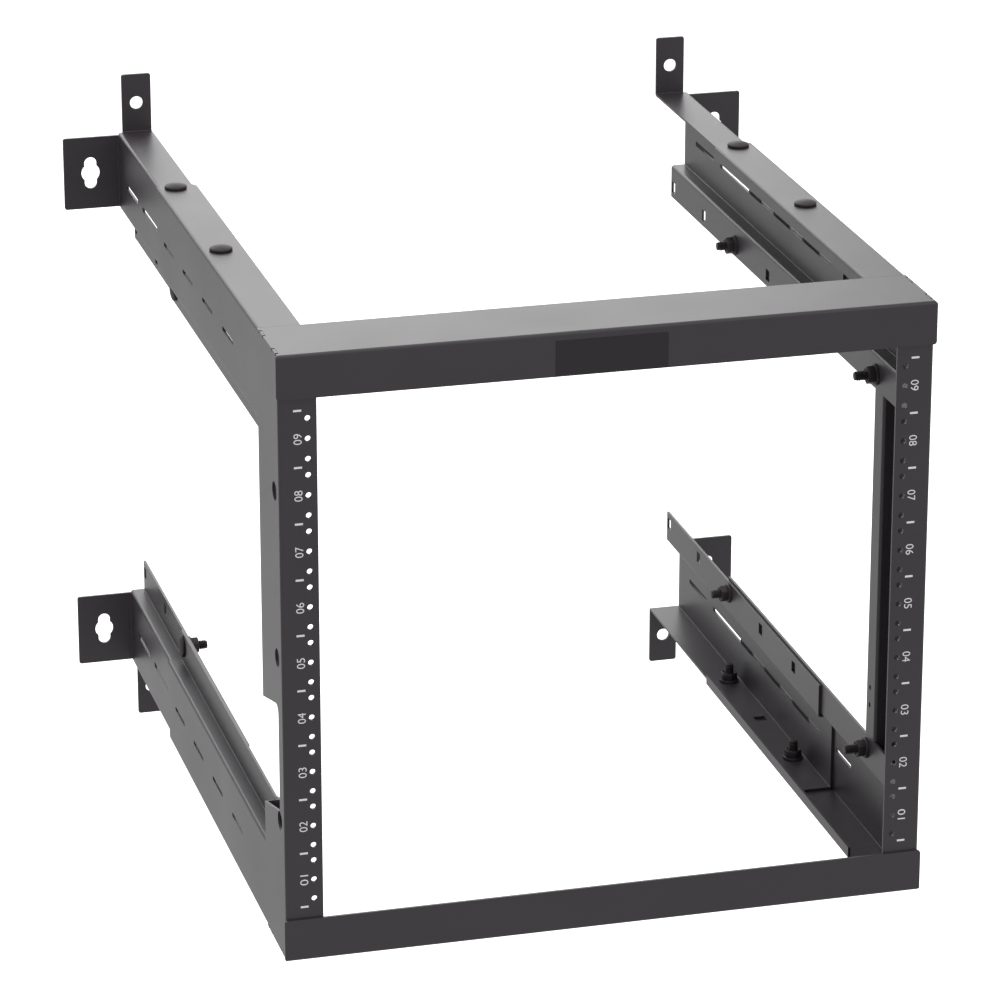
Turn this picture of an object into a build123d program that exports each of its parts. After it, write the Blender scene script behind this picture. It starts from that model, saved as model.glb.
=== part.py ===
from build123d import *
from math import ceil, floor
import os

# Wall mount rack, nine rack units, open frame. All lengths are in millimetres.
# The model is drawn from the middle of the rack (X), the face of the rails (Y, growing
# towards the wall) and the foot of unit 1 (Z), then moved so that the origin lies on the
# wall face of the upper left ear.

# Rack grid
UNIT = 44.45
UNITS = 9
HOLE_ROWS = (6.35, 22.225, 38.1)
HOLE_SPACING = 465.1
RAIL_HOLE_D = 4.5

# Overall frame
SHEET = 2.0
RAIL_HOLE_INSET = 22.45
DEPTH = 631.0
OVERHANG = 44.0

# Side frame section: rail or flange, web, ledge, lip
SECTION = 72.0
LEDGE = 12.0
LIP = 26.4
RAIL_WIDTH = 29.3
FLANGE_WIDTH = 34.2
HEM = 10.5
ARM_CORNER = 4.0
POST_LIP = 18.0
BEND = 0.5
NEST_GAP = 0.2

# Lengths of the two halves of each arm
FRONT_ARM_LENGTH = 452.6
OVERLAP = 252.0

# Wall arm
WALL_FLANGE_WIDTH = 29.0
EAR_WIDTH = 47.5
EAR_TAB_WIDTH = 25.0
TAB_HEIGHT = 50.0
TAB_HOLE_D = 11.1
PLATE_CORNER = 2.0
KEYHOLE_OFFSET = 24.5
KEYHOLE_D = 15.9
KEYHOLE_SLOT = 10.6
KEYHOLE_LENGTH = 27.5
ORIGIN_DROP = 22.375

# Slots in the webs
SLOT_DROP = 40.0
ARM_SLOT_HEIGHT = 3.5
WALL_SLOT_HEIGHT = 4.3
ARM_SLOT = 39.0
ARM_SLOT_PITCH = 76.2
ARM_SLOT_START = 176.0
ARM_SLOTS = 4
LONG_SLOT_START = 230.0
LONG_SLOT_END = 526.0
SHORT_SLOT_START = 545.0
SHORT_SLOT_END = 597.0

# Fasteners: carriage bolts with flange nuts
BOLT_PITCH = 88.9
BOLT_D = 7.9
BOLT_LENGTH = 20.0
HEAD_D = 18.3
HEAD_HEIGHT = 4.2
NECK = 8.6
NECK_HOLE = 8.8
LIP_HOLE = 9.6
NUT_ACROSS = 12.7
NUT_HEIGHT = 8.4
NUT_FLANGE_D = 17.3
NUT_FLANGE = 2.2
FLANGE_BOLT_INSET = 14.8
LIP_BOLT_DROP = 14.5
FRONT_LIP_BOLT = 1
TIP_CHAMFER = 0.8

# Crossbars
BAR_HEIGHT = 34.3
BAR_DEPTH = 67.5
BAR_PROUD = 1.5
BAR_CORNER = 2.5
BAR_TAB = 10.0
BAR_TAB_RELIEF = 2.0
BAR_TAB_PLACES = (11.0, 54.5)

# Round holes in the post webs and lips
WEB_HOLE_D = 14.8
WEB_HOLE_SETBACK = 16.0
WEB_HOLE_PITCH = 3 * UNIT
LIP_HOLE_D = 4.5
LIP_HOLE_INSET = 7.4
LIP_HOLE_HEIGHTS = (82.0, 97.0)

# Opening in the left post
NOTCH_HEIGHT = 88.0
NOTCH_RISE = 20.0
NOTCH_FRONT = 15.5
NOTCH_CORNER = 7.0

# How far a cutter reaches past the sheet
BACKUP = 1.0

# Values worked out from the ones above
HALF_WIDTH = HOLE_SPACING / 2 + RAIL_HOLE_INSET
OUTER_BEND = BEND + SHEET
MID_HEIGHT = UNIT * UNITS / 2
TOP = UNIT * UNITS + OVERHANG
LEDGE_Z = TOP - SECTION
LIP_X = HALF_WIDTH - LEDGE
LIP_END = LEDGE_Z - LIP
WINDOW_LOW = 2 * MID_HEIGHT - LIP_END
WINDOW_REAR = SECTION + POST_LIP
NEST = SHEET + NEST_GAP
WALL_WEB = HALF_WIDTH - NEST
WALL_TOP = TOP - NEST
WALL_LIP_X = LIP_X - NEST
WALL_ARM_START = FRONT_ARM_LENGTH - OVERLAP
WALL_ARM_END = DEPTH - SHEET - BEND
OVERLAP_STEPS = range(ceil(WALL_ARM_START / BOLT_PITCH), floor(FRONT_ARM_LENGTH / BOLT_PITCH) + 1)
FLANGE_BOLT_STEPS = (OVERLAP_STEPS[0], OVERLAP_STEPS[-1])
LIP_BOLT_STEPS = (FRONT_LIP_BOLT, OVERLAP_STEPS[-1])
FLANGE_BOLT_X = HALF_WIDTH - FLANGE_BOLT_INSET
LIP_BOLT_Z = LEDGE_Z - LIP_BOLT_DROP
SLOT_Z = TOP - SLOT_DROP
EAR_LOW = LEDGE_Z + NEST + OUTER_BEND
EAR_HIGH = WALL_TOP - OUTER_BEND
EAR_EDGE = WALL_WEB + EAR_WIDTH
KEYHOLE_X = WALL_WEB + KEYHOLE_OFFSET
KEYHOLE_Z = (EAR_LOW + EAR_HIGH) / 2
TAB_INNER = WALL_WEB - WALL_FLANGE_WIDTH
TAB_HOLE_X = TAB_INNER + EAR_TAB_WIDTH / 2
TAB_HOLE_Z = WALL_TOP + TAB_HEIGHT / 2
BAR_SEAM = BAR_DEPTH + NEST_GAP
WEB_TOP = TOP - SHEET
RAIL_END = WEB_TOP - BEND
ORIGIN = (-KEYHOLE_X, DEPTH, KEYHOLE_Z - ORIGIN_DROP)

SIDES = {"left": -1, "right": 1}
LEVELS = {"upper": 1, "lower": -1}


def bent_sheet(points, radii, side):
    """Section face of a bent sheet, from its outer face and the side its thickness is on."""
    if radii:
        path = FilletPolyline(*points, radius=list(radii))
    else:
        path = Polyline(*points)
    return make_face(offset(path, amount=SHEET, side=side, closed=True))


def along_y(section, start, end):
    """Extrude a section drawn in X and Z from one depth to another."""
    plane = Plane(origin=(0, start, 0), x_dir=(1, 0, 0), z_dir=(0, -1, 0))
    return extrude(plane * section, amount=start - end)


def along_z(section, start, end):
    """Extrude a section drawn in X and Y from one height to another."""
    return extrude(Plane(origin=(0, 0, start)) * section, amount=end - start)


def along_x(section, start, end):
    """Extrude a section drawn in Y and Z from one width to another."""
    return extrude(Plane(origin=(start, 0, 0), x_dir=(0, 1, 0), z_dir=(1, 0, 0)) * section, amount=end - start)


def block(x_range, y_range, z_range):
    """Box between two corners, given as a range for each axis."""
    size = [high - low for low, high in (x_range, y_range, z_range)]
    centre = [(high + low) / 2 for low, high in (x_range, y_range, z_range)]
    return Pos(*centre) * Box(*size)


def below(solid):
    """Mirror an upper piece to the lower arms, about the middle of the rack's height."""
    return mirror(solid, about=Plane.XY.offset(MID_HEIGHT))


def as_side(solid, side):
    """Return a right-hand piece as it is, or mirrored to the left."""
    return solid if side > 0 else mirror(solid, about=Plane.YZ)


def pitch_steps(start, end):
    """Steps of the bolt pitch that lie between two depths."""
    return range(ceil(start / BOLT_PITCH), floor(end / BOLT_PITCH) + 1)


def web_slot(start, end, height):
    """Cutter for a round-ended slot through a web, between two depths."""
    slot = Pos((start + end) / 2, SLOT_Z) * SlotOverall(end - start, height)
    return along_x(slot, LIP_X, HALF_WIDTH + BACKUP)


def flange_hole(step, size):
    """Cutter for a square hole through the top flange at one step of the bolt pitch."""
    square = Pos(FLANGE_BOLT_X, BOLT_PITCH * step) * Rectangle(size, size)
    return along_z(square, WALL_TOP - SHEET - BACKUP, TOP + BACKUP)


def lip_hole(step, size):
    """Cutter for a square hole through the lip at one step of the bolt pitch."""
    square = Pos(BOLT_PITCH * step, LIP_BOLT_Z) * Rectangle(size, size)
    return along_x(square, WALL_LIP_X - SHEET - BACKUP, LIP_X + BACKUP)


def arm_corner():
    """Cutter that takes the rear inner corner off a front arm's flange and hem."""
    inner = HALF_WIDTH - FLANGE_WIDTH
    corner = Polyline(
        (inner - BACKUP, FRONT_ARM_LENGTH + BACKUP),
        (inner - BACKUP, FRONT_ARM_LENGTH - ARM_CORNER - BACKUP),
        (inner + ARM_CORNER + BACKUP, FRONT_ARM_LENGTH + BACKUP),
        close=True,
    )
    return along_z(make_face(corner), TOP - HEM - BACKUP, TOP + BACKUP)


def bar_tabs():
    """Tabs on the top edge of the web that stand in the notches of the crossbar."""
    tabs = []
    for place in BAR_TAB_PLACES:
        depths = (place - BAR_TAB / 2, place + BAR_TAB / 2)
        tabs.append(block((HALF_WIDTH - SHEET, HALF_WIDTH), depths, (WEB_TOP, TOP)))
    return tabs


def front_arm():
    """Upper right front arm, a channel with a hem, a ledge and a lip, open to the wall arm."""
    inner = HALF_WIDTH - FLANGE_WIDTH
    foot = [(HALF_WIDTH, LEDGE_Z), (LIP_X, LEDGE_Z), (LIP_X, LIP_END)]
    hem = [(inner, TOP - HEM), (inner, TOP), (HALF_WIDTH, TOP)]
    bends = (OUTER_BEND, BEND)
    whole = bent_sheet([*hem, *foot], (OUTER_BEND, OUTER_BEND, *bends), Side.RIGHT)
    arm = along_y(whole, BAR_SEAM, FRONT_ARM_LENGTH)
    arm += along_y(bent_sheet([(HALF_WIDTH, WEB_TOP), *foot], bends, Side.RIGHT), OUTER_BEND, BAR_SEAM)
    for tab in bar_tabs():
        arm += tab
    for index in range(ARM_SLOTS):
        middle = ARM_SLOT_START + ARM_SLOT_PITCH * index
        arm -= web_slot(middle - ARM_SLOT / 2, middle + ARM_SLOT / 2, ARM_SLOT_HEIGHT)
    for step in FLANGE_BOLT_STEPS:
        arm -= flange_hole(step, NECK_HOLE)
    for step in LIP_BOLT_STEPS:
        arm -= lip_hole(step, NECK_HOLE)
    return arm - arm_corner()


def post():
    """Right post: rail, web, ledge and a lip that faces the wall."""
    corner = [(HALF_WIDTH - RAIL_WIDTH, 0), (HALF_WIDTH, 0)]
    angle = bent_sheet([*corner, (HALF_WIDTH, SECTION - OUTER_BEND)], (OUTER_BEND,), Side.LEFT)
    rear = [(HALF_WIDTH, SECTION), (LIP_X, SECTION), (LIP_X, WINDOW_REAR)]
    whole = bent_sheet([*corner, *rear], (OUTER_BEND, OUTER_BEND, BEND), Side.LEFT)
    solid = along_z(angle, 2 * MID_HEIGHT - RAIL_END, RAIL_END)
    solid += along_z(whole, WINDOW_LOW, LIP_END)
    return solid


def rail_holes():
    """Cutters for the three holes of every rack unit in the right rail."""
    hole = Cylinder(RAIL_HOLE_D / 2, SHEET + 2 * BACKUP, rotation=(90, 0, 0))
    heights = [UNIT * unit + row for unit in range(UNITS) for row in HOLE_ROWS]
    return [Pos(HOLE_SPACING / 2, SHEET / 2, height) * hole for height in heights]


def web_holes():
    """Cutters for the round holes through the post's web, three units apart."""
    heights = [MID_HEIGHT + WEB_HOLE_PITCH * step for step in (-1, 0, 1)]
    places = [Pos(WEB_HOLE_SETBACK, height) * Circle(WEB_HOLE_D / 2) for height in heights]
    return [along_x(place, LIP_X + SHEET, HALF_WIDTH + BACKUP) for place in places]


def post_lip_holes():
    """Cutters for the small round holes near the foot of the post's lip."""
    depth = WINDOW_REAR - LIP_HOLE_INSET
    places = [Pos(depth, height) * Circle(LIP_HOLE_D / 2) for height in LIP_HOLE_HEIGHTS]
    return [along_x(place, LIP_X - SHEET - BACKUP, LIP_X + BACKUP) for place in places]


def post_notch():
    """Cutter for the opening in the left post, from behind its rail to its rear edge."""
    rear = WINDOW_REAR + BACKUP
    outline = Polyline(
        (rear, WINDOW_LOW),
        (NOTCH_FRONT, WINDOW_LOW + NOTCH_RISE),
        (NOTCH_FRONT, WINDOW_LOW + NOTCH_RISE + NOTCH_HEIGHT),
        (rear, WINDOW_LOW + NOTCH_HEIGHT),
        close=True,
    )
    face = make_face(outline)
    front = face.vertices().sort_by(Axis.X)[:2]
    return along_x(fillet(front, NOTCH_CORNER), -HALF_WIDTH - BACKUP, -LIP_X + SHEET + BACKUP)


def side_frame(side):
    """One side frame, its post and both its front arms folded from one sheet."""
    arm = front_arm()
    frame = post() + arm + below(arm)
    for cutter in rail_holes() + web_holes() + post_lip_holes():
        frame -= cutter
    frame = as_side(frame, side)
    if side < 0:
        frame -= post_notch()
    return frame


def ear():
    """Upper right ear with its keyhole, bent outwards from the web at the wall."""
    root = WALL_ARM_END - BACKUP
    face = DEPTH - SHEET
    section = bent_sheet([(WALL_WEB, root), (WALL_WEB, face), (EAR_EDGE, face)], (BEND,), Side.LEFT)
    plate = along_z(section, EAR_LOW, EAR_HIGH)
    corners = plate.edges().filter_by(Axis.Y).group_by(Axis.X)[-1]
    plate = fillet(corners, PLATE_CORNER)
    wide = Circle(KEYHOLE_D / 2)
    keyhole = wide + SlotOverall(KEYHOLE_LENGTH, KEYHOLE_SLOT, rotation=90)
    return plate - along_y(Pos(KEYHOLE_X, KEYHOLE_Z) * keyhole, face - BACKUP, DEPTH + BACKUP)


def wall_tab():
    """Upper right tab with its round hole, bent up from the flange at the wall."""
    root = WALL_ARM_END - BACKUP
    face = DEPTH - SHEET
    outline = [(root, WALL_TOP), (face, WALL_TOP), (face, WALL_TOP + TAB_HEIGHT)]
    section = bent_sheet(outline, (BEND,), Side.RIGHT)
    plate = along_x(section, TAB_INNER, TAB_INNER + EAR_TAB_WIDTH)
    corners = plate.edges().filter_by(Axis.Y).group_by(Axis.Z)[-1]
    plate = fillet(corners, PLATE_CORNER)
    hole = Pos(TAB_HOLE_X, TAB_HOLE_Z) * Circle(TAB_HOLE_D / 2)
    return plate - along_y(hole, face - BACKUP, DEPTH + BACKUP)


def wall_arm(side, level):
    """One wall arm, nested inside its front arm and ending in an ear and a tab."""
    ledge = LEDGE_Z + NEST
    foot = [(WALL_WEB, ledge), (WALL_LIP_X, ledge), (WALL_LIP_X, ledge - LIP)]
    bends = (OUTER_BEND, BEND)
    head = [(TAB_INNER, WALL_TOP), (WALL_WEB, WALL_TOP)]
    section = bent_sheet([*head, *foot], (OUTER_BEND, *bends), Side.RIGHT)
    arm = along_y(section, WALL_ARM_START, WALL_ARM_END) + ear() + wall_tab()
    heel = bent_sheet([(WALL_WEB, EAR_LOW + NEST_GAP), *foot], bends, Side.RIGHT)
    arm += along_y(heel, WALL_ARM_END, DEPTH - SHEET)
    arm -= web_slot(LONG_SLOT_START, LONG_SLOT_END, WALL_SLOT_HEIGHT)
    arm -= web_slot(SHORT_SLOT_START, SHORT_SLOT_END, WALL_SLOT_HEIGHT)
    for step in pitch_steps(WALL_ARM_START, WALL_ARM_END):
        arm -= lip_hole(step, LIP_HOLE)
    for step in OVERLAP_STEPS:
        arm -= flange_hole(step, LIP_HOLE)
    if level < 0:
        arm = below(arm)
    return as_side(arm, side)


def bar_envelope():
    """Space that a crossbar fills: a rounded front plate, and its top between the side frames' faces."""
    end = HALF_WIDTH + BAR_PROUD
    front = Pos(0, TOP - BAR_HEIGHT / 2) * RectangleRounded(2 * end, BAR_HEIGHT, BAR_CORNER)
    space = along_y(front, -SHEET - BACKUP, 0)
    return space + block((-HALF_WIDTH, HALF_WIDTH), (0, BAR_DEPTH), (TOP - BAR_HEIGHT, TOP))


def crossbar(level):
    """Top or bottom crossbar, an angle whose front plate covers the ends of the rails."""
    outline = [(-SHEET, TOP - BAR_HEIGHT), (-SHEET, TOP), (BAR_DEPTH, TOP)]
    end = HALF_WIDTH + BAR_PROUD
    section = bent_sheet(outline, (OUTER_BEND,), Side.RIGHT)
    bar = along_x(section, -end, end) & bar_envelope()
    reach = BAR_TAB / 2 + BAR_TAB_RELIEF
    for side in SIDES.values():
        notch = sorted((side * WALL_WEB, side * end))
        for place in BAR_TAB_PLACES:
            bar -= block(notch, (place - reach, place + reach), (WEB_TOP - BACKUP, TOP + BACKUP))
    return bar if level > 0 else below(bar)


def carriage_bolt():
    """Carriage bolt standing on Z, its head's flat underside at the origin and its shank below."""
    rise = HEAD_HEIGHT
    sphere_r = ((HEAD_D / 2) ** 2 + rise ** 2) / (2 * rise)
    dome = Pos(0, 0, rise - sphere_r) * Sphere(sphere_r)
    head = dome & Pos(0, 0, rise / 2) * Cylinder(HEAD_D / 2, rise)
    neck = Pos(0, 0, -SHEET / 2) * Box(NECK, NECK, SHEET)
    shank = Pos(0, 0, -BOLT_LENGTH / 2) * Cylinder(BOLT_D / 2, BOLT_LENGTH)
    tip = chamfer(shank.edges().sort_by(Axis.Z)[0], TIP_CHAMFER)
    return head + neck + tip


def flange_nut():
    """Flange nut standing on Z, its flange face at the origin and its body below."""
    skirt = Pos(0, 0, -NUT_FLANGE / 2) * Cylinder(NUT_FLANGE_D / 2, NUT_FLANGE)
    hexagon = RegularPolygon(NUT_ACROSS / 2, 6, major_radius=False)
    body = extrude(hexagon, amount=-NUT_HEIGHT)
    bore = Cylinder((BOLT_D + NEST_GAP) / 2, 2 * (NUT_HEIGHT + BACKUP))
    return skirt + body - bore


def fastener_places():
    """Name, place of the bolt head's face, place of the nut's face and turn of each upper right set."""
    stack = 2 * SHEET + NEST_GAP
    inward = Rot(0, 90, 0)
    sets = {}
    for number, step in enumerate(FLANGE_BOLT_STEPS, 1):
        depth = BOLT_PITCH * step
        head = Pos(FLANGE_BOLT_X, depth, TOP)
        sets[f"flange_{number}"] = (head, Pos(FLANGE_BOLT_X, depth, TOP - stack))
    for number, step in enumerate(LIP_BOLT_STEPS, 1):
        depth = BOLT_PITCH * step
        grip = stack if depth > WALL_ARM_START else SHEET
        head = Pos(LIP_X, depth, LIP_BOLT_Z) * inward
        sets[f"lip_{number}"] = (head, Pos(LIP_X - grip, depth, LIP_BOLT_Z) * inward)
    return sets


def fasteners():
    """Every bolt and nut as its own node, four sets on each arm."""
    nodes = {}
    for name, (head, seat) in fastener_places().items():
        for piece, solid in (("bolt", head * carriage_bolt()), ("nut", seat * flange_nut())):
            for side_name, side in SIDES.items():
                for level_name, level in LEVELS.items():
                    placed = as_side(solid if level > 0 else below(solid), side)
                    nodes[f"{level_name}_{side_name}_{name}_{piece}"] = placed
    return nodes


def build_nodes():
    """Every node of the rack, by name."""
    nodes = {f"{name}_side_frame": side_frame(side) for name, side in SIDES.items()}
    nodes["top_crossbar"] = crossbar(1)
    nodes["bottom_crossbar"] = crossbar(-1)
    for side_name, side in SIDES.items():
        for level_name, level in LEVELS.items():
            nodes[f"{level_name}_{side_name}_wall_arm"] = wall_arm(side, level)
    nodes.update(fasteners())
    return nodes


os.makedirs("parts", exist_ok=True)
to_wall = Pos(*(-value for value in ORIGIN))
for node_name, node in build_nodes().items():
    export_step(to_wall * node, f"parts/{node_name}.step")
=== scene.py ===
"""Looks for the nine-unit open-frame wall rack: finishes, rail marks, fasteners, light and camera."""

import logging
import math
from contextlib import contextmanager
from dataclasses import dataclass, field
from enum import Enum
from typing import Iterator

import bmesh
import bpy
from mathutils import Matrix, Vector

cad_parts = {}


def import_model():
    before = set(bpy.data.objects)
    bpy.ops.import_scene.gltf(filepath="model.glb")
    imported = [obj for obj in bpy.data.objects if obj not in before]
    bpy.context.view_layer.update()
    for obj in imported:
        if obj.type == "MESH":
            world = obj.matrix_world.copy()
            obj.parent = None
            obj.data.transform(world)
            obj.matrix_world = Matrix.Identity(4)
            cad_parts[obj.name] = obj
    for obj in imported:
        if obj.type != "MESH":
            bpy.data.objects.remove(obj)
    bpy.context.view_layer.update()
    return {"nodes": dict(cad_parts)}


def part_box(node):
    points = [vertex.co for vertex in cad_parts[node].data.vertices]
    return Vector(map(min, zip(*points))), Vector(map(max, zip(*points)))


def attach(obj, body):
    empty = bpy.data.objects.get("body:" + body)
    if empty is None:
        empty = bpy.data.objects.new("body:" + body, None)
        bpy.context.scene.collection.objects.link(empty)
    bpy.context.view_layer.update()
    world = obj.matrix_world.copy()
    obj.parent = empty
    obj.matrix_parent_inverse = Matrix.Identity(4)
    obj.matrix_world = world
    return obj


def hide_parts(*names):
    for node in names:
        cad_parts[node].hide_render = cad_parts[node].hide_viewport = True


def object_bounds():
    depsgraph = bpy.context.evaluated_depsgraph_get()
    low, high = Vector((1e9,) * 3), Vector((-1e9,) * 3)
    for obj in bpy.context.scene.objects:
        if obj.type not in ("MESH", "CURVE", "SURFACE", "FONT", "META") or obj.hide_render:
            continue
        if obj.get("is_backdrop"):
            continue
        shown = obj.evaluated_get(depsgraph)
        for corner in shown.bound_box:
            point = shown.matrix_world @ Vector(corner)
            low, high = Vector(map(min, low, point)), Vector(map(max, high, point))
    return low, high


log = logging.getLogger("wall_rack")

MM = 0.001
UNIT = 44.45 * MM
UNITS = 9
ROOT = "root"
BOLT = "_bolt"
NUT = "_nut"

FRONT = Vector((0, -1, 0))
UP = Vector((0, 0, 1))
DOWN = Vector((0, 0, -1))
FACING = 0.9  # how closely a face's normal follows the direction asked for, 1 for exactly
SHARP = math.radians(40)  # the least angle of an edge that a bevel rounds
SOFT = math.radians(35)  # the greatest angle of an edge that is shaded smooth


class Side(Enum):
    """The two sides of the rack, seen from the front."""

    LEFT = -1
    RIGHT = 1

    @property
    def word(self) -> str:
        """The side's name as the nodes use it."""
        return self.name.lower()


class Level(Enum):
    """The upper and lower pairs of arms."""

    LOWER = -1
    UPPER = 1

    @property
    def word(self) -> str:
        """The level's name as the pieces use it."""
        return self.name.lower()


def corners(box: tuple[Vector, Vector]) -> tuple[Vector, Vector]:
    """Give a box's lowest and highest corners as vectors of their own."""
    return Vector(box[0]), Vector(box[1])


def outer_face(low: Vector, high: Vector, side: Side) -> float:
    """Give the X of a side frame's outer face, from the frame's corners."""
    return low.x if side is Side.LEFT else high.x


def deselect() -> None:
    """Clear the selection in object mode."""
    bpy.ops.object.select_all(action="DESELECT")


def pick(*pieces: bpy.types.Object) -> None:
    """Select these pieces only, the last of them active.

    Args:
        pieces: the pieces to select.
    """
    deselect()
    for piece in pieces:
        piece.select_set(True)
    bpy.context.view_layer.objects.active = pieces[-1]


@contextmanager
def editing(piece: bpy.types.Object) -> Iterator[None]:
    """Open a piece in edit mode with nothing selected, and close it afterwards.

    Args:
        piece: the mesh to edit.
    """
    pick(piece)
    bpy.ops.object.mode_set(mode="EDIT")
    bpy.ops.mesh.select_all(action="DESELECT")
    yield
    bpy.ops.object.mode_set(mode="OBJECT")


def select_faces(
    piece: bpy.types.Object, way: Vector, facing: float = FACING, larger: float = 0.0
) -> None:
    """Select the faces of the open piece that point one way.

    Args:
        piece: the mesh in edit mode.
        way: the direction, of unit length.
        facing: how closely a face follows it, 1 for exactly.
        larger: the area that a face has to exceed, in square metres.
    """
    bpy.ops.mesh.select_mode(type="FACE")
    mesh = bmesh.from_edit_mesh(piece.data)
    for face in mesh.faces:
        face.select_set(face.normal.dot(way) > facing and face.calc_area() > larger)
    bmesh.update_edit_mesh(piece.data)


def bake_place(piece: bpy.types.Object) -> None:
    """Move a piece's place, turn and scale into its mesh."""
    pick(piece)
    bpy.ops.object.transform_apply(location=True, rotation=True, scale=True)


def block(size: tuple[float, float, float], middle: Vector) -> bpy.types.Object:
    """Add a block to shape.

    Args:
        size: its width, depth and height.
        middle: its middle.

    Returns:
        The block, with its place in its mesh.
    """
    deselect()
    bpy.ops.mesh.primitive_cube_add(size=1, location=middle)
    piece = bpy.context.active_object
    piece.scale = size
    bake_place(piece)
    return piece


def rod(radius: float, length: float, top: float, sides: int) -> bpy.types.Object:
    """Add an upright rod or prism to shape.

    Args:
        radius: its radius, out to its corners.
        length: its length.
        top: the height of its upper end.
        sides: the number of its sides.

    Returns:
        The rod, with its place in its mesh.
    """
    deselect()
    bpy.ops.mesh.primitive_cylinder_add(
        vertices=sides, radius=radius, depth=length, location=(0, 0, top - length / 2)
    )
    piece = bpy.context.active_object
    bake_place(piece)
    return piece


def apply_all(piece: bpy.types.Object) -> None:
    """Apply every modifier of a piece in order.

    Args:
        piece: the piece to finish.
    """
    pick(piece)
    for modifier in list(piece.modifiers):
        bpy.ops.object.modifier_apply(modifier=modifier.name)


def bevel(piece: bpy.types.Object, width: float, segments: int = 2) -> None:
    """Round the edges of a piece.

    Args:
        piece: the mesh to round.
        width: the bevel's width in metres.
        segments: the number of steps around the edge.
    """
    modifier = piece.modifiers.new("edge_round", "BEVEL")
    modifier.width = width
    modifier.segments = segments
    modifier.limit_method = "ANGLE"
    modifier.angle_limit = SHARP
    apply_all(piece)


def face_outwards(piece: bpy.types.Object) -> None:
    """Turn all faces of a closed piece outwards.

    Args:
        piece: the mesh to turn.
    """
    with editing(piece):
        bpy.ops.mesh.select_all(action="SELECT")
        bpy.ops.mesh.normals_make_consistent(inside=False)


def smooth(piece: bpy.types.Object) -> None:
    """Shade a piece smooth where its faces meet at a soft angle."""
    pick(piece)
    bpy.ops.object.shade_smooth_by_angle(angle=SOFT)


def named(piece: bpy.types.Object, name: str) -> bpy.types.Object:
    """Name a piece and its mesh.

    Args:
        piece: the piece to name.
        name: its name.

    Returns:
        The same piece.
    """
    piece.name = name
    piece.data.name = name
    return piece


def joined(name: str, pieces: list[bpy.types.Object]) -> bpy.types.Object:
    """Join pieces into one mesh.

    Args:
        name: the name of the joined piece.
        pieces: the meshes to join.

    Returns:
        The joined piece, with its place in its mesh.
    """
    pick(*pieces)
    bpy.ops.object.join()
    piece = bpy.context.view_layer.objects.active
    bake_place(piece)
    return named(piece, name)


def copied(source: bpy.types.Object, name: str, place: Matrix) -> bpy.types.Object:
    """Copy a piece with its own mesh to another place.

    Args:
        source: the piece to copy, modelled about the origin.
        name: the new piece's name.
        place: where the copy goes.

    Returns:
        The copy, with its place in its mesh.
    """
    pick(source)
    bpy.ops.object.duplicate(linked=False)
    piece = named(bpy.context.view_layer.objects.active, name)
    piece.matrix_world = place
    bake_place(piece)
    return piece


def dress(piece: bpy.types.Object, material: bpy.types.Material) -> None:
    """Give a piece one material."""
    piece.data.materials.clear()
    piece.data.materials.append(material)


class CoatTexture:
    """Node group for the skin of a baked or plated coat: fine orange peel and slow unevenness."""

    NAME = "coat_texture"
    PEEL_DETAIL = 3.0
    PEEL_ROUGHNESS = 0.55
    CLOUD_DETAIL = 2.0

    def group(self) -> bpy.types.NodeTree:
        """Build the group once.

        Returns:
            The node group, with the inputs Place, Peel Scale and Cloud Scale and the outputs
            Height and Cloud.
        """
        if self.NAME in bpy.data.node_groups:
            return bpy.data.node_groups[self.NAME]
        tree = bpy.data.node_groups.new(self.NAME, "ShaderNodeTree")
        for name, way, kind in (
            ("Place", "INPUT", "NodeSocketVector"),
            ("Peel Scale", "INPUT", "NodeSocketFloat"),
            ("Cloud Scale", "INPUT", "NodeSocketFloat"),
            ("Height", "OUTPUT", "NodeSocketFloat"),
            ("Cloud", "OUTPUT", "NodeSocketFloat"),
        ):
            tree.interface.new_socket(name=name, in_out=way, socket_type=kind)
        entry = tree.nodes.new("NodeGroupInput")
        leave = tree.nodes.new("NodeGroupOutput")
        peel = tree.nodes.new("ShaderNodeTexNoise")
        peel.inputs["Detail"].default_value = self.PEEL_DETAIL
        peel.inputs["Roughness"].default_value = self.PEEL_ROUGHNESS
        cloud = tree.nodes.new("ShaderNodeTexNoise")
        cloud.inputs["Detail"].default_value = self.CLOUD_DETAIL
        tree.links.new(entry.outputs["Place"], peel.inputs["Vector"])
        tree.links.new(entry.outputs["Place"], cloud.inputs["Vector"])
        tree.links.new(entry.outputs["Peel Scale"], peel.inputs["Scale"])
        tree.links.new(entry.outputs["Cloud Scale"], cloud.inputs["Scale"])
        tree.links.new(peel.outputs["Fac"], leave.inputs["Height"])
        tree.links.new(cloud.outputs["Fac"], leave.inputs["Cloud"])
        return tree


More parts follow.
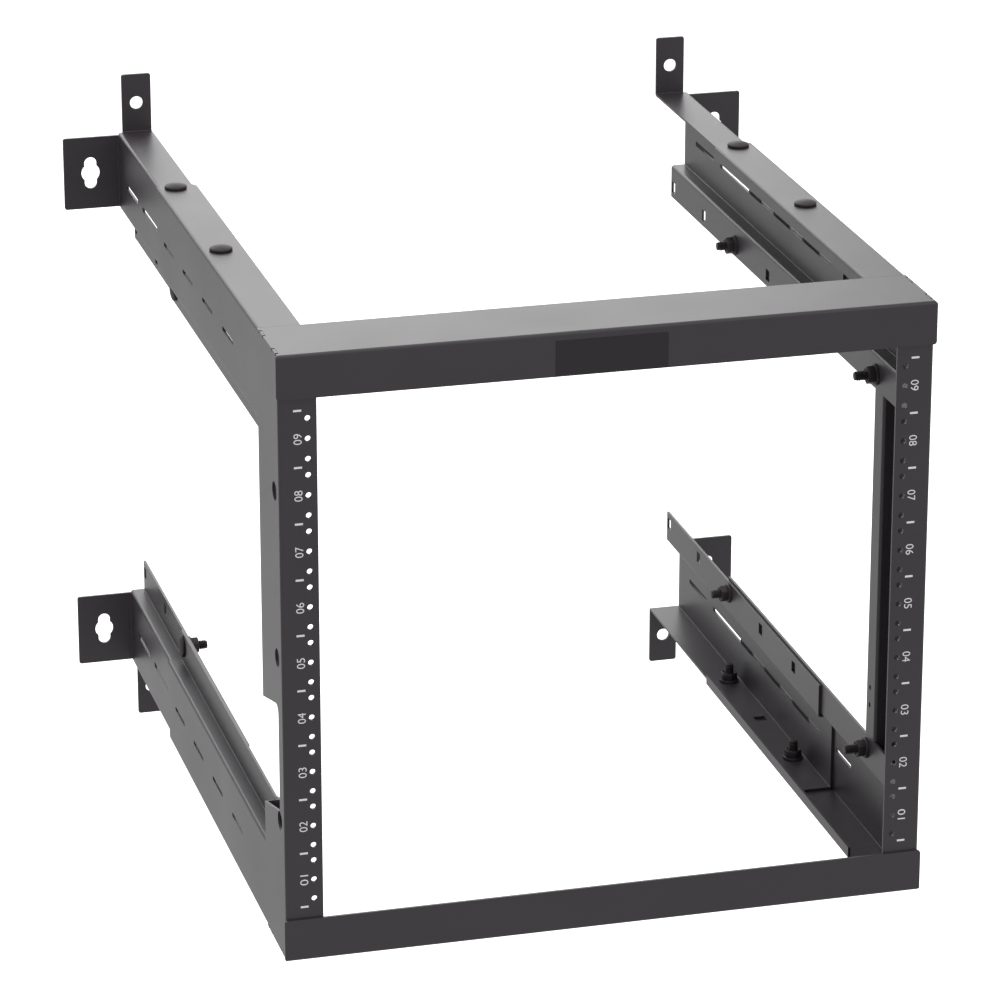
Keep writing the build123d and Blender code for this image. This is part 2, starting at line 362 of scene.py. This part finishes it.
@dataclass(frozen=True)
class Coat:
    """A coated metal finish.

    Attributes:
        name: the material's name.
        dark: the coat's darker colour, linear.
        light: the coat's lighter colour, linear.
        roughness: lowest and highest roughness over the surface.
        peel_scale: the orange peel's scale, in cells per metre.
        cloud_scale: the unevenness's scale, in cells per metre.
        bump: depth of the orange peel in metres.
        specular: strength of the clear reflection, 0.5 for a common coat.
    """

    name: str
    dark: tuple[float, float, float]
    light: tuple[float, float, float]
    roughness: tuple[float, float]
    peel_scale: float
    cloud_scale: float
    bump: float
    specular: float = 0.5

    def material(self) -> bpy.types.Material:
        """Build the material.

        Returns:
            The finished material.
        """
        material = bpy.data.materials.new(self.name)
        material.use_nodes = True
        nodes, links = material.node_tree.nodes, material.node_tree.links
        shader = nodes["Principled BSDF"]
        shader.inputs["Metallic"].default_value = 0.0
        shader.inputs["Specular IOR Level"].default_value = self.specular
        place = nodes.new("ShaderNodeTexCoord")
        skin = nodes.new("ShaderNodeGroup")
        skin.node_tree = CoatTexture().group()
        skin.inputs["Peel Scale"].default_value = self.peel_scale
        skin.inputs["Cloud Scale"].default_value = self.cloud_scale
        links.new(place.outputs["Object"], skin.inputs["Place"])
        colour = nodes.new("ShaderNodeMix")
        colour.data_type = "RGBA"
        colour.inputs["A"].default_value = (*self.dark, 1)
        colour.inputs["B"].default_value = (*self.light, 1)
        links.new(skin.outputs["Cloud"], colour.inputs["Factor"])
        links.new(colour.outputs["Result"], shader.inputs["Base Color"])
        rough = nodes.new("ShaderNodeMapRange")
        rough.inputs["To Min"].default_value = self.roughness[0]
        rough.inputs["To Max"].default_value = self.roughness[1]
        links.new(skin.outputs["Cloud"], rough.inputs["Value"])
        links.new(rough.outputs["Result"], shader.inputs["Roughness"])
        bump = nodes.new("ShaderNodeBump")
        bump.inputs["Distance"].default_value = self.bump
        bump.inputs["Strength"].default_value = 1.0
        links.new(skin.outputs["Height"], bump.inputs["Height"])
        links.new(bump.outputs["Normal"], shader.inputs["Normal"])
        return material


POWDER = Coat(
    name="charcoal_powder_coat",
    dark=(0.0215, 0.0180, 0.0215),
    light=(0.0270, 0.0232, 0.0270),
    roughness=(0.37, 0.45),
    peel_scale=900.0,
    cloud_scale=9.0,
    bump=0.04 * MM,
    specular=0.34,
)
ZINC = Coat(
    name="black_zinc",
    dark=(0.0170, 0.0130, 0.0155),
    light=(0.0220, 0.0175, 0.0205),
    roughness=(0.46, 0.60),
    peel_scale=1500.0,
    cloud_scale=120.0,
    bump=0.02 * MM,
    specular=0.2,
)
MARK_INK = Coat(
    name="mark_ink",
    dark=(0.50, 0.50, 0.51),
    light=(0.62, 0.62, 0.63),
    roughness=(0.5, 0.62),
    peel_scale=900.0,
    cloud_scale=260.0,
    bump=0.02 * MM,
)
PLATE_LACQUER = Coat(
    name="plate_lacquer",
    dark=(0.0040, 0.0022, 0.0040),
    light=(0.0052, 0.0032, 0.0052),
    roughness=(0.52, 0.60),
    peel_scale=700.0,
    cloud_scale=25.0,
    bump=0.01 * MM,
    specular=0.36,
)


@dataclass
class Steelwork:
    """The bent sheet nodes of the rack, which keep their shapes and get the powder coat.

    Attributes:
        fastener_words: how the names of the nodes end that aren't sheet.
    """

    fastener_words: tuple[str, str] = (BOLT, NUT)

    def build(self, nodes: dict[str, bpy.types.Object], coat: bpy.types.Material) -> None:
        """Dress the sheet nodes.

        Args:
            nodes: the frame's nodes by name.
            coat: the powder coat.
        """
        for name, node in nodes.items():
            if not name.endswith(self.fastener_words):
                dress(node, coat)
                log.info("dressed %s", name)


@dataclass
class CornerLedges:
    """The ends of the posts' ledges, which close the frames' inside corners behind the arms' lips.

    Attributes:
        section: depth of the posts' and the arms' webs, from the rail or the flange to the ledge.
        ledge: width of the ledge.
        drop: height of the arm's lip, which the piece covers from behind.
        sheet: thickness of the sheet.
        web: how far the piece turns round the corner, to meet the web.
        bend: radius of the outer bend.
        bend_steps: steps round the bend.
        lap: how far the piece reaches into its neighbours.
    """

    section: float = 72.0 * MM
    ledge: float = 12.0 * MM
    drop: float = 26.4 * MM
    sheet: float = 2.0 * MM
    web: float = 2.5 * MM
    bend: float = 2.4 * MM
    bend_steps: int = 4
    lap: float = 0.2 * MM

    def select_outer_edge(self, piece: bpy.types.Object) -> None:
        """Select the upright edge at the open piece's outer rear corner.

        Args:
            piece: the mesh in edit mode.
        """
        bpy.ops.mesh.select_mode(type="EDGE")
        mesh = bmesh.from_edit_mesh(piece.data)
        for edge in mesh.edges:
            ends = [vertex.co for vertex in edge.verts]
            edge.select_set(all(end.x > -self.lap and end.y > -self.lap for end in ends))
        bmesh.update_edit_mesh(piece.data)

    def ledge_end(self) -> bpy.types.Object:
        """Model the upper right piece, bent from one sheet, its outer top corner at the origin.

        Returns:
            The piece.
        """
        width, height = self.ledge + self.lap, self.drop + self.lap
        deselect()
        bpy.ops.mesh.primitive_plane_add(
            size=1, location=(-width / 2, 0, self.lap - height / 2), rotation=(math.pi / 2, 0, 0)
        )
        piece = bpy.context.active_object
        piece.scale = (width, height, 1)
        bake_place(piece)
        with editing(piece):
            self.select_outer_edge(piece)
            bpy.ops.mesh.extrude_region_move(TRANSFORM_OT_translate={"value": (0, -self.web, 0)})
            bpy.ops.mesh.select_all(action="DESELECT")
            self.select_outer_edge(piece)
            bpy.ops.mesh.bevel(offset=self.bend, segments=self.bend_steps, affect="EDGES")
        solid = piece.modifiers.new("sheet", "SOLIDIFY")
        solid.thickness = self.sheet
        solid.offset = 1.0
        solid.use_even_offset = True
        apply_all(piece)
        return piece

    def build(self, coat: bpy.types.Material) -> None:
        """Put a piece into each inside corner of both side frames.

        Args:
            coat: the powder coat.
        """
        master = self.ledge_end()
        for side in Side:
            low, high = corners(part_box(f"{side.word}_side_frame"))
            face = outer_face(low, high, side)
            for level in Level:
                height = high.z - self.section if level is Level.UPPER else low.z + self.section
                corner = Matrix.Translation((face, low.y + self.section, height))
                turn = Matrix.Diagonal((side.value, 1, level.value, 1))
                piece = copied(master, f"{level.word}_{side.word}_corner_ledge", corner @ turn)
                face_outwards(piece)
                smooth(piece)
                dress(piece, coat)
                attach(piece, ROOT)
                log.info("placed %s", piece.name)
        bpy.data.objects.remove(master)


@dataclass
class CarriageBolt:
    """A carriage bolt with a domed head, a square neck and a thread.

    Attributes:
        head_radius: radius of the head.
        head_height: height of the head over its underside.
        head_rim: height of the head's upright rim, with the dome above it.
        head_round: radius of the head's rounded edges.
        head_sides: sides of the head.
        head_rings: rings of the sphere that the dome is cut from.
        round_steps: steps round the head's edges.
        neck: width of the square neck.
        neck_depth: depth of the square neck.
        length: length of the shank from the head's underside.
        shank_radius: radius over the thread.
        shank_sides: sides of the shank's core.
        pitch: pitch of the thread.
        thread_depth: depth of the thread.
        thread_sunk: share of its depth that the ridge reaches into the core.
        thread_half_foot: half the width of the ridge's foot, in pitches.
        thread_start: bare length under the head.
        turn_steps: steps in one turn of the thread.
        edge: width of the tip's and the neck's chamfers.
    """

    head_radius: float = 9.15 * MM
    head_height: float = 4.2 * MM
    head_rim: float = 2.1 * MM
    head_round: float = 0.7 * MM
    head_sides: int = 48
    head_rings: int = 40
    round_steps: int = 3
    neck: float = 8.6 * MM
    neck_depth: float = 2.0 * MM
    length: float = 20.0 * MM
    shank_radius: float = 3.95 * MM
    shank_sides: int = 32
    pitch: float = 1.41 * MM
    thread_depth: float = 0.62 * MM
    thread_sunk: float = 0.05
    thread_half_foot: float = 0.46
    thread_start: float = 3.0 * MM
    turn_steps: int = 24
    edge: float = 0.35 * MM

    def head(self) -> bpy.types.Object:
        """Model the domed head, its flat underside at the origin.

        Returns:
            The head.
        """
        rise = self.head_height - self.head_rim
        sphere_r = (self.head_radius**2 + rise**2) / (2 * rise)
        deselect()
        bpy.ops.mesh.primitive_uv_sphere_add(
            segments=self.head_sides,
            ring_count=self.head_rings,
            radius=sphere_r,
            location=(0, 0, self.head_height - sphere_r),
        )
        head = bpy.context.active_object
        bake_place(head)
        with editing(head):
            bpy.ops.mesh.select_all(action="SELECT")
            bpy.ops.mesh.bisect(
                plane_co=(0, 0, self.head_rim), plane_no=UP, use_fill=True, clear_inner=True
            )
            select_faces(head, DOWN)
            bpy.ops.mesh.extrude_region_move(
                TRANSFORM_OT_translate={"value": (0, 0, -self.head_rim)}
            )
        bevel(head, self.head_round, self.round_steps)
        smooth(head)
        return head

    def square_neck(self) -> bpy.types.Object:
        """Model the square neck under the head.

        Returns:
            The neck.
        """
        neck = block((self.neck, self.neck, self.neck_depth), Vector((0, 0, -self.neck_depth / 2)))
        with editing(neck):
            select_faces(neck, DOWN)
            bpy.ops.mesh.inset(thickness=self.edge)
        bevel(neck, self.edge / 2)
        return neck

    def core(self) -> bpy.types.Object:
        """Model the shank's core with a chamfered tip.

        Returns:
            The core.
        """
        core = rod(self.shank_radius - self.thread_depth, self.length, 0.0, self.shank_sides)
        with editing(core):
            select_faces(core, DOWN)
            bpy.ops.mesh.inset(thickness=self.edge)
            bpy.ops.transform.translate(value=(0, 0, -self.edge / 2))
        smooth(core)
        return core

    def thread(self) -> bpy.types.Object:
        """Model the helical ridge of the thread.

        Returns:
            The ridge.
        """
        foot = self.shank_radius - self.thread_depth * (1 + self.thread_sunk)
        half = self.thread_half_foot
        deselect()
        bpy.ops.mesh.primitive_circle_add(vertices=3, radius=self.pitch / 2, location=(0, 0, 0))
        ridge = bpy.context.active_object
        outline = ((foot, half), (self.shank_radius, 0.0), (foot, -half))
        for vertex, (reach, rise) in zip(ridge.data.vertices, outline):
            vertex.co = (reach, 0, -self.length + self.pitch + rise * self.pitch)
        screw = ridge.modifiers.new("helix", "SCREW")
        screw.axis = "Z"
        screw.angle = math.tau
        screw.screw_offset = self.pitch
        screw.iterations = int((self.length - self.thread_start - self.pitch) / self.pitch)
        screw.steps = self.turn_steps
        screw.render_steps = self.turn_steps
        screw.use_merge_vertices = False
        apply_all(ridge)
        with editing(ridge):
            bpy.ops.mesh.select_mode(type="EDGE")
            bpy.ops.mesh.select_non_manifold()
            bpy.ops.mesh.fill()
        face_outwards(ridge)
        return ridge

    def model(self) -> bpy.types.Object:
        """Model the bolt, its head's underside at the origin and its shank below.

        Returns:
            The bolt.
        """
        return joined("bolt_master", [self.head(), self.square_neck(), self.core(), self.thread()])


@dataclass
class FlangeNut:
    """A six-sided nut on a round flange.

    Attributes:
        across: width over the flats.
        height: height over all.
        sides: sides of the body.
        flange_radius: radius of the flange at its seat.
        flange_depth: depth of the flange.
        flange_sides: sides of the flange.
        flange_taper: width of the flange's side towards the body, as a share of the seat's.
        edge: width of the rounded edges.
        chamfer: width of the chamfer round the body's free end.
        lip: width of the flat left round the dish.
        dish: depth of the dish in the body's free end.
        dish_facing: how closely the dish's face follows the nut's axis.
        dish_area: area that only the dish's face exceeds.
    """

    across: float = 12.7 * MM
    height: float = 8.4 * MM
    sides: int = 6
    flange_radius: float = 8.65 * MM
    flange_depth: float = 2.2 * MM
    flange_sides: int = 48
    flange_taper: float = 0.93
    edge: float = 0.35 * MM
    chamfer: float = 1.05 * MM
    lip: float = 0.42 * MM
    dish: float = 0.7 * MM
    dish_facing: float = 0.99
    dish_area: float = 4.9 * MM**2

    def flange(self) -> bpy.types.Object:
        """Model the round flange, its seat at the origin.

        Returns:
            The flange.
        """
        flange = rod(self.flange_radius, self.flange_depth, 0.0, self.flange_sides)
        with editing(flange):
            select_faces(flange, DOWN)
            bpy.ops.transform.resize(value=(self.flange_taper, self.flange_taper, 1))
        bevel(flange, self.edge)
        smooth(flange)
        return flange

    def body(self) -> bpy.types.Object:
        """Model the six-sided body, chamfered and dished at its free end.

        Returns:
            The body.
        """
        overlap = self.flange_depth / 2
        radius = self.across / 2 / math.cos(math.pi / self.sides)
        body = rod(radius, self.height - overlap, -overlap, self.sides)
        with editing(body):
            select_faces(body, DOWN)
            bpy.ops.mesh.bevel(offset=self.chamfer, segments=2, affect="EDGES")
            select_faces(body, DOWN, self.dish_facing, self.dish_area)
            bpy.ops.mesh.inset(thickness=self.lip)
            bpy.ops.transform.translate(value=(0, 0, self.dish))
        bevel(body, self.edge / 2)
        smooth(body)
        return body

    def model(self) -> bpy.types.Object:
        """Model the nut, its flange's seat at the origin and its body below.

        Returns:
            The nut.
        """
        return joined("nut_master", [self.flange(), self.body()])


@dataclass
class Fasteners:
    """Carriage bolts and flange nuts with real domes, threads and chamfers, in the nodes' places.

    Attributes:
        bolt: the bolt that stands for every bolt node.
        nut: the nut that stands for every nut node.
    """

    bolt: CarriageBolt = field(default_factory=CarriageBolt)
    nut: FlangeNut = field(default_factory=FlangeNut)

    def outward(self, name: str) -> Vector:
        """Say which way the bolt's head points.

        Args:
            name: the node's name.

        Returns:
            A unit vector.
        """
        if "_flange_" in name:
            return Vector(UP if name.startswith("upper") else DOWN)
        return Vector((-1 if "_left_" in name else 1, 0, 0))

    def seat(self, name: str, depth: float) -> Matrix:
        """Work out where a master goes to stand in for a node.

        Args:
            name: the node's name.
            depth: how far the node's outer end lies from the master's origin.

        Returns:
            The master's place, with its own Z along the head's direction.
        """
        low, high = corners(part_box(name))
        out = self.outward(name)
        end = (low + high + (high - low) * out) / 2
        turn = out.to_track_quat("Z", "Y").to_matrix().to_4x4()
        return Matrix.Translation(end - out * depth) @ turn

    def build(self, nodes: dict[str, bpy.types.Object]) -> None:
        """Put a bolt or a nut in the place of every fastener node.

        Args:
            nodes: the frame's nodes by name.
        """
        zinc = ZINC.material()
        masters = {BOLT: (self.bolt.model(), self.bolt.head_height), NUT: (self.nut.model(), 0.0)}
        for name in sorted(nodes):
            for word, (master, depth) in masters.items():
                if name.endswith(word):
                    piece = copied(master, f"{name}_detail", self.seat(name, depth))
                    dress(piece, zinc)
                    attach(piece, ROOT)
                    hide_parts(name)
                    log.info("placed %s", piece.name)
        for master, _ in masters.values():
            bpy.data.objects.remove(master)


@dataclass
class RailMarks:
    """Unit numbers and tick marks printed on the face of each rail.

    Attributes:
        inset: distance of the marks' middle from the frame's outer face.
        tick_length: length of a tick, across the rail.
        tick_width: width of a tick, along the rail.
        digit_height: height of the digits.
        digit_span: width of a two-digit number.
        digit_steps: steps in each curve of a digit.
        stroke_trim: how much the digits' strokes are thinned, at a text size of 1.
        ink: thickness of the ink.
    """

    inset: float = 14.66 * MM
    tick_length: float = 6.2 * MM
    tick_width: float = 1.6 * MM
    digit_height: float = 6.3 * MM
    digit_span: float = 8.5 * MM
    digit_steps: int = 4
    stroke_trim: float = 0.004
    ink: float = 0.06 * MM

    def tick(self, place: Vector) -> bpy.types.Object:
        """Model one tick mark about its middle on the rail's face."""
        return block((self.tick_length, self.ink, self.tick_width), place)

    def number(self, unit: int, place: Vector, side: Side) -> bpy.types.Object:
        """Model one printed two-digit number, turned to read along the rail.

        Args:
            unit: the rack unit.
            place: the number's middle on the rail's face.
            side: the rail it is printed on.

        Returns:
            The number as a mesh.
        """
        deselect()
        bpy.ops.object.text_add()
        text = bpy.context.active_object
        text.data.body = f"{unit:02d}"
        text.data.extrude = self.ink / 2
        text.data.offset = -self.stroke_trim
        text.data.align_x = "CENTER"
        text.data.align_y = "CENTER"
        text.data.resolution_u = self.digit_steps
        pick(text)
        bpy.ops.object.convert(target="MESH")
        columns = list(zip(*(corner[:] for corner in text.bound_box)))
        low = Vector(min(column) for column in columns)
        high = Vector(max(column) for column in columns)
        span = high - low
        stretch = Matrix.Diagonal((self.digit_span / span.x, self.digit_height / span.y, 1, 1))
        upright = Matrix.Rotation(math.pi / 2, 4, "X")
        sideways = Matrix.Rotation(-side.value * math.pi / 2, 4, "Z")
        centred = Matrix.Translation(-(low + high) / 2)
        text.matrix_world = Matrix.Translation(place) @ upright @ sideways @ stretch @ centred
        bake_place(text)
        return text

    def build(self) -> None:
        """Print the marks on both rails."""
        ink = MARK_INK.material()
        for side in Side:
            low, high = corners(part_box(f"{side.word}_side_frame"))
            column = outer_face(low, high, side) - side.value * self.inset
            face = low.y - self.ink / 2
            foot = (low.z + high.z) / 2 - UNIT * UNITS / 2
            marks = [self.tick(Vector((column, face, foot + UNIT * row))) for row in range(UNITS + 1)]
            marks += [
                self.number(unit, Vector((column, face, foot + UNIT * (unit - 0.5))), side)
                for unit in range(1, UNITS + 1)
            ]
            piece = joined(f"{side.word}_rail_marks", marks)
            dress(piece, ink)
            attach(piece, ROOT)
            log.info("printed %s", piece.name)


@dataclass
class LabelPlate:
    """The bare dark plate on the front of the top crossbar.

    Attributes:
        width: width of the plate.
        height: height of the plate.
        thickness: thickness of the plate.
        drop: distance of its middle below the crossbar's top.
        corner: radius of its rounded edges.
        rim: width of its raised rim.
        rim_height: height of its raised rim.
    """

    width: float = 87.2 * MM
    height: float = 27.3 * MM
    thickness: float = 0.6 * MM
    drop: float = 20.1 * MM
    corner: float = 0.25 * MM
    rim: float = 1.2 * MM
    rim_height: float = 0.15 * MM

    def build(self) -> None:
        """Model the plate on the crossbar's face."""
        low, high = corners(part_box("top_crossbar"))
        middle = Vector(((low.x + high.x) / 2, low.y - self.thickness / 2, high.z - self.drop))
        piece = named(block((self.width, self.thickness, self.height), middle), "label_plate")
        with editing(piece):
            select_faces(piece, FRONT)
            bpy.ops.mesh.inset(thickness=self.rim)
            bpy.ops.transform.translate(value=(0, self.rim_height, 0))
        bevel(piece, self.corner)
        dress(piece, PLATE_LACQUER.material())
        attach(piece, ROOT)
        log.info("placed %s", piece.name)


@dataclass(frozen=True)
class Lamp:
    """A soft square lamp.

    Attributes:
        name: the lamp's name.
        offset: where it hangs, from the object's middle.
        size: its side in metres.
        power: its power in watts.
    """

    name: str
    offset: tuple[float, float, float]
    size: float
    power: float

    def hang(self, middle: Vector) -> None:
        """Hang the lamp so that it faces the object.

        Args:
            middle: the object's middle.
        """
        place = middle + Vector(self.offset)
        deselect()
        bpy.ops.object.light_add(type="AREA", location=place)
        lamp = bpy.context.active_object
        lamp.name = self.name
        lamp.data.energy = self.power
        lamp.data.size = self.size
        lamp.rotation_euler = (middle - place).to_track_quat("-Z", "Y").to_euler()
        log.info("hung %s", self.name)


@dataclass
class Studio:
    """A pale floor, a white surround and soft lamps.

    Attributes:
        floor_size: side of the square floor.
        floor_drop: distance of the floor below the object.
        floor_colour: the floor's colour, linear.
        floor_roughness: the floor's roughness.
        floor_specular: strength of the floor's clear reflection.
        floor_glow: what the camera sees added to the floor, 1 for white.
        surround: strength at which the world lights the object.
        lamps: the lamps.
    """

    floor_size: float = 14.0
    floor_drop: float = 0.55
    floor_colour: tuple[float, float, float] = (0.74, 0.74, 0.74)
    floor_roughness: float = 0.9
    floor_specular: float = 0.1
    floor_glow: float = 0.6
    surround: float = 0.9
    lamps: tuple[Lamp, ...] = (
        Lamp("overhead_soft", offset=(-0.4, -0.4, 3.0), size=2.4, power=45.0),
        Lamp("rear_soft", offset=(0.03, 3.4, 1.85), size=3.2, power=82.0),
        Lamp("front_soft", offset=(1.6, -3.2, 1.8), size=1.8, power=18.0),
    )

    def world(self) -> None:
        """Make the world white to the camera, gloss and glass, and a soft light to the rest."""
        world = bpy.data.worlds.new("studio_surround")
        bpy.context.scene.world = world
        world.use_nodes = True
        nodes, links = world.node_tree.nodes, world.node_tree.links
        sky = nodes["Background"]
        sky.inputs["Color"].default_value = (1, 1, 1, 1)
        path = nodes.new("ShaderNodeLightPath")
        shown = path.outputs["Is Camera Ray"]
        for ray in ("Is Transmission Ray", "Is Glossy Ray"):
            either = nodes.new("ShaderNodeMath")
            either.operation = "MAXIMUM"
            links.new(shown, either.inputs[0])
            links.new(path.outputs[ray], either.inputs[1])
            shown = either.outputs["Value"]
        level = nodes.new("ShaderNodeMapRange")
        level.inputs["To Min"].default_value = self.surround
        level.inputs["To Max"].default_value = 1.0
        links.new(shown, level.inputs["Value"])
        links.new(level.outputs["Result"], sky.inputs["Strength"])
        log.info("lit %s", world.name)

    def floor(self, low: Vector, middle: Vector) -> None:
        """Lay the floor under the object.

        Args:
            low: the object's lowest corner.
            middle: the object's middle.
        """
        deselect()
        bpy.ops.mesh.primitive_plane_add(
            size=self.floor_size, location=(middle.x, middle.y, low.z - self.floor_drop)
        )
        floor = bpy.context.active_object
        floor.name = "studio_floor"
        material = bpy.data.materials.new("pale_floor")
        material.use_nodes = True
        nodes, links = material.node_tree.nodes, material.node_tree.links
        shader = nodes["Principled BSDF"]
        shader.inputs["Base Color"].default_value = (*self.floor_colour, 1)
        shader.inputs["Roughness"].default_value = self.floor_roughness
        shader.inputs["Specular IOR Level"].default_value = self.floor_specular
        shader.inputs["Emission Color"].default_value = (1, 1, 1, 1)
        path = nodes.new("ShaderNodeLightPath")
        glow = nodes.new("ShaderNodeMapRange")
        glow.inputs["To Max"].default_value = self.floor_glow
        links.new(path.outputs["Is Camera Ray"], glow.inputs["Value"])
        links.new(glow.outputs["Result"], shader.inputs["Emission Strength"])
        dress(floor, material)
        floor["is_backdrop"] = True
        log.info("laid %s", floor.name)

    def build(self) -> None:
        """Set the stage around the object."""
        low, high = corners(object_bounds())
        middle = (low + high) / 2
        self.world()
        self.floor(low, middle)
        for lamp in self.lamps:
            lamp.hang(middle)


@dataclass
class PhotoCamera:
    """The camera at the photograph's place and angle.

    Attributes:
        place: where the camera stands.
        ahead: the direction it looks in.
        focal_pixels: its focal length in pixels of the frame.
        frame_pixels: the frame's width in pixels.
        sensor: the sensor's width in millimetres.
    """

    place: tuple[float, float, float] = (-0.6912, -3.9159, 1.1721)
    ahead: tuple[float, float, float] = (0.2437, 0.9072, -0.3430)
    focal_pixels: float = 4840.0
    frame_pixels: float = 1000.0
    sensor: float = 36.0

    def build(self) -> None:
        """Create the camera and make it the scene's."""
        deselect()
        bpy.ops.object.camera_add(location=self.place)
        camera = bpy.context.active_object
        camera.name = "photo_camera"
        camera.rotation_euler = Vector(self.ahead).to_track_quat("-Z", "Y").to_euler()
        camera.data.sensor_width = self.sensor
        camera.data.lens = self.focal_pixels / self.frame_pixels * self.sensor
        bpy.context.scene.camera = camera
        log.info("placed %s", camera.name)


def main() -> None:
    """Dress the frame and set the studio."""
    logging.basicConfig(level=logging.INFO)
    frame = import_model()
    nodes = frame["nodes"]
    coat = POWDER.material()
    Steelwork().build(nodes, coat)
    CornerLedges().build(coat)
    Fasteners().build(nodes)
    RailMarks().build()
    LabelPlate().build()
    Studio().build()
    PhotoCamera().build()
    bpy.context.scene.view_settings.view_transform = "Standard"


if __name__ == "__main__":
    main()
